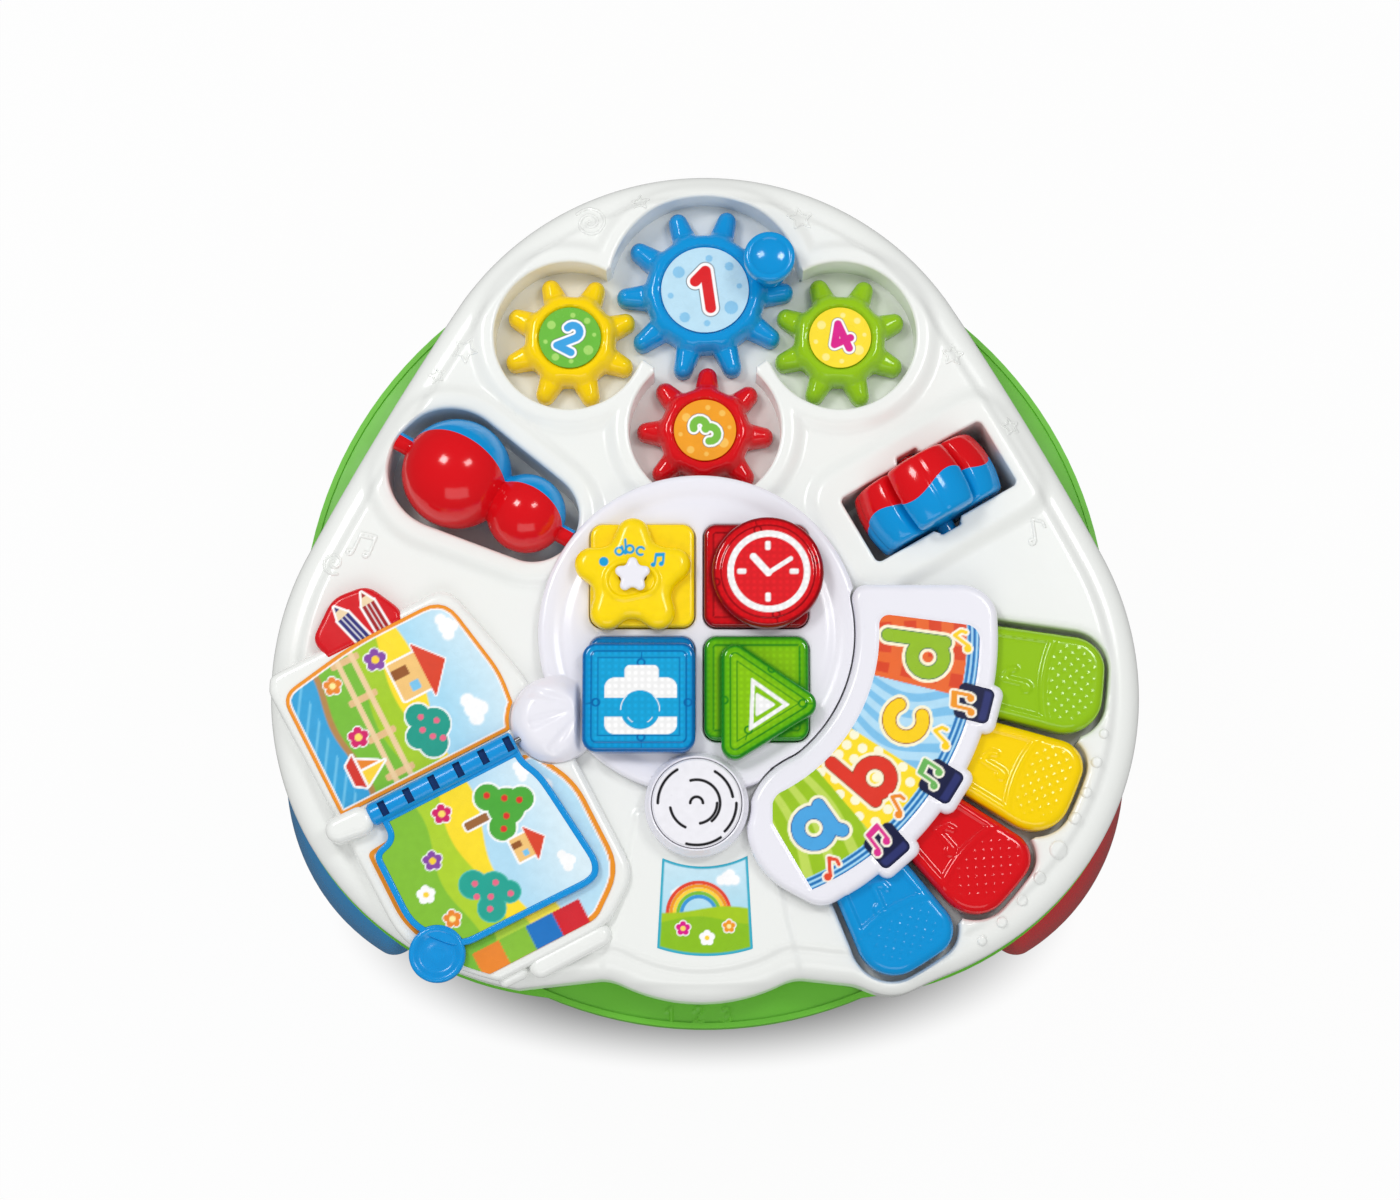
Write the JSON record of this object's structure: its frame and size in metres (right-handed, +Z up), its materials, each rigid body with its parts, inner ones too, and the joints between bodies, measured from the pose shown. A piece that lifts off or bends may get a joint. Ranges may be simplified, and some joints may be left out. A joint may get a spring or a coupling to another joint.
{
  "type": "baby activity table",
  "caption": "Low play table for toddlers: three curved legs, a round tray and a lobed white deck with finger gears, spinning balls, roller, push buttons, piano keys and a page-turning book.",
  "frame": {"origin": "centre of the bounding box in plan, on the floor under the feet", "axes": "+X to the right seen from the front, +Y to the back where the gears are, +Z up"},
  "size_m": [0.4386, 0.4376, 0.358],
  "materials": {
    "deck_white": "satin",
    "module_white": "satin",
    "tray_green": "gloss",
    "blue": "gloss",
    "yellow": "gloss",
    "red": "gloss",
    "lime": "gloss",
    "lens_blue": "see-through",
    "lens_red": "see-through",
    "lens_green": "see-through",
    "print_white": "printed",
    "dark_plastic": "satin",
    "board_green": "coated",
    "steel": "bright",
    "cell": "gloss",
    "rubber_grey": "matt",
    "lamp": "clear"
  },
  "bodies": {
    "table": {"top_deck": "deck_white", "bottom_tray": "tray_green", "case_screws": "steel", "battery_door": "tray_green", "door_screw": "steel", "batteries": "cell", "battery_contacts": "steel", "foot_pads": "rubber_grey", "leg_back": "yellow", "leg_left": "blue", "leg_right": "red", "gear_screws": "steel", "module_cover": "module_white", "speaker_grille": "module_white", "speaker_driver": "dark_plastic", "circuit_board": "board_green", "button_leds": "lamp", "dome_star": "rubber_grey", "dome_clock": "rubber_grey", "dome_camera": "rubber_grey", "dome_triangle": "rubber_grey", "letter_panel": "module_white", "key_dome_green": "rubber_grey", "key_dome_yellow": "rubber_grey", "key_dome_red": "rubber_grey", "key_dome_blue": "rubber_grey", "key_pins": "steel", "book_base": "deck_white", "upper_page": "print_white", "lower_page": "print_white", "book_pin": "steel", "red_tab": "red"},
    "blue_gear": {"gear_blue": "blue", "gear_disc_blue": "print_white"},
    "crank_knob": {"gear_knob": "blue"},
    "yellow_gear": {"gear_yellow": "yellow", "gear_disc_yellow": "print_white"},
    "green_gear": {"gear_green": "lime", "gear_disc_green": "print_white"},
    "red_gear": {"gear_red": "red", "gear_disc_red": "print_white"},
    "double_ball": {"ball_half_red": "red", "ball_half_blue": "blue", "ball_axle": "steel"},
    "flower_roller": {"roller_half_red": "red", "roller_half_blue": "blue", "roller_axle": "steel"},
    "star_button": {"button_star": "yellow"},
    "clock_button": {"button_clock": "lens_red"},
    "camera_button": {"button_camera": "lens_blue"},
    "triangle_button": {"button_triangle": "lens_green"},
    "mode_switch": {"mode_slider": "module_white"},
    "green_key": {"key_green": "lime"},
    "yellow_key": {"key_yellow": "yellow"},
    "red_key": {"key_red": "red"},
    "blue_key": {"key_blue": "blue"},
    "page_leaf": {"book_leaf": "blue", "leaf_prints": "print_white"}
  },
  "joints": [
    {"name": "blue_gear_spin", "type": "hinge", "parent": "table", "child": "blue_gear", "pos_m": [0, 0.14266, 0.314], "axis": [0, 0, 1], "continuous": true},
    {"name": "knob_spin", "type": "hinge", "parent": "blue_gear", "child": "crank_knob", "pos_m": [0.03157, 0.15416, 0.3368], "axis": [0, 0, 1], "continuous": true},
    {"name": "yellow_gear_spin", "type": "hinge", "parent": "table", "child": "yellow_gear", "pos_m": [-0.06672, 0.11838, 0.314], "axis": [0, 0, 1], "continuous": true},
    {"name": "green_gear_spin", "type": "hinge", "parent": "table", "child": "green_gear", "pos_m": [0.06672, 0.11838, 0.314], "axis": [0, 0, 1], "continuous": true},
    {"name": "red_gear_spin", "type": "hinge", "parent": "table", "child": "red_gear", "pos_m": [0, 0.07166, 0.314], "axis": [0, 0, 1], "continuous": true},
    {"name": "double_ball_spin", "type": "hinge", "parent": "table", "child": "double_ball", "pos_m": [-0.1045, 0.03946, 0.331], "axis": [0.866, -0.5, 0], "continuous": true},
    {"name": "flower_roller_spin", "type": "hinge", "parent": "table", "child": "flower_roller", "pos_m": [0.1093, 0.03996, 0.322], "axis": [-0.5, 0.866, 0], "continuous": true},
    {"name": "star_button_press", "type": "slide", "parent": "table", "child": "star_button", "axis": [0, 0, -1], "range_m": [0, 0.003], "stiffness_N_per_m": 600, "springref_m": -0.002, "deforming": ["dome_star"]},
    {"name": "clock_button_press", "type": "slide", "parent": "table", "child": "clock_button", "axis": [0, 0, -1], "range_m": [0, 0.003], "stiffness_N_per_m": 600, "springref_m": -0.002, "deforming": ["dome_clock"]},
    {"name": "camera_button_press", "type": "slide", "parent": "table", "child": "camera_button", "axis": [0, 0, -1], "range_m": [0, 0.003], "stiffness_N_per_m": 600, "springref_m": -0.002, "deforming": ["dome_camera"]},
    {"name": "triangle_button_press", "type": "slide", "parent": "table", "child": "triangle_button", "axis": [0, 0, -1], "range_m": [0, 0.003], "stiffness_N_per_m": 600, "springref_m": -0.002, "deforming": ["dome_triangle"]},
    {"name": "mode_switch_slide", "type": "slide", "parent": "star_button", "child": "mode_switch", "axis": [1, 0, 0], "range_m": [-0.0035, 0.0035]},
    {"name": "green_key_press", "type": "hinge", "parent": "table", "child": "green_key", "pos_m": [0.11588, -0.04873, 0.32875], "axis": [0.108, 0.9942, 0], "range_deg": [0, 4], "stiffness_Nm_per_rad": 1.2, "springref_deg": -1.15, "deforming": ["key_dome_green"]},
    {"name": "yellow_key_press", "type": "hinge", "parent": "table", "child": "yellow_key", "pos_m": [0.1076, -0.07974, 0.32875], "axis": [0.4019, 0.9157, 0], "range_deg": [0, 4], "stiffness_Nm_per_rad": 1.2, "springref_deg": -1.15, "deforming": ["key_dome_yellow"]},
    {"name": "red_key_press", "type": "hinge", "parent": "table", "child": "red_key", "pos_m": [0.09038, -0.10683, 0.32875], "axis": [0.6587, 0.7524, 0], "range_deg": [0, 4], "stiffness_Nm_per_rad": 1.2, "springref_deg": -1.15, "deforming": ["key_dome_red"]},
    {"name": "blue_key_press", "type": "hinge", "parent": "table", "child": "blue_key", "pos_m": [0.06581, -0.12748, 0.32875], "axis": [0.8545, 0.5195, 0], "range_deg": [0, 4], "stiffness_Nm_per_rad": 1.2, "springref_deg": -1.15, "deforming": ["key_dome_blue"]},
    {"name": "page_leaf_turn", "type": "hinge", "parent": "table", "child": "page_leaf", "pos_m": [-0.1238, -0.10104, 0.342], "axis": [-0.887, -0.4617, 0], "range_deg": [0, 180]}
  ],
  "couplings": [
    {"joint": "yellow_gear_spin", "follows": "blue_gear_spin", "ratio": -1.25},
    {"joint": "green_gear_spin", "follows": "blue_gear_spin", "ratio": -1.25},
    {"joint": "red_gear_spin", "follows": "blue_gear_spin", "ratio": -1.25}
  ]
}
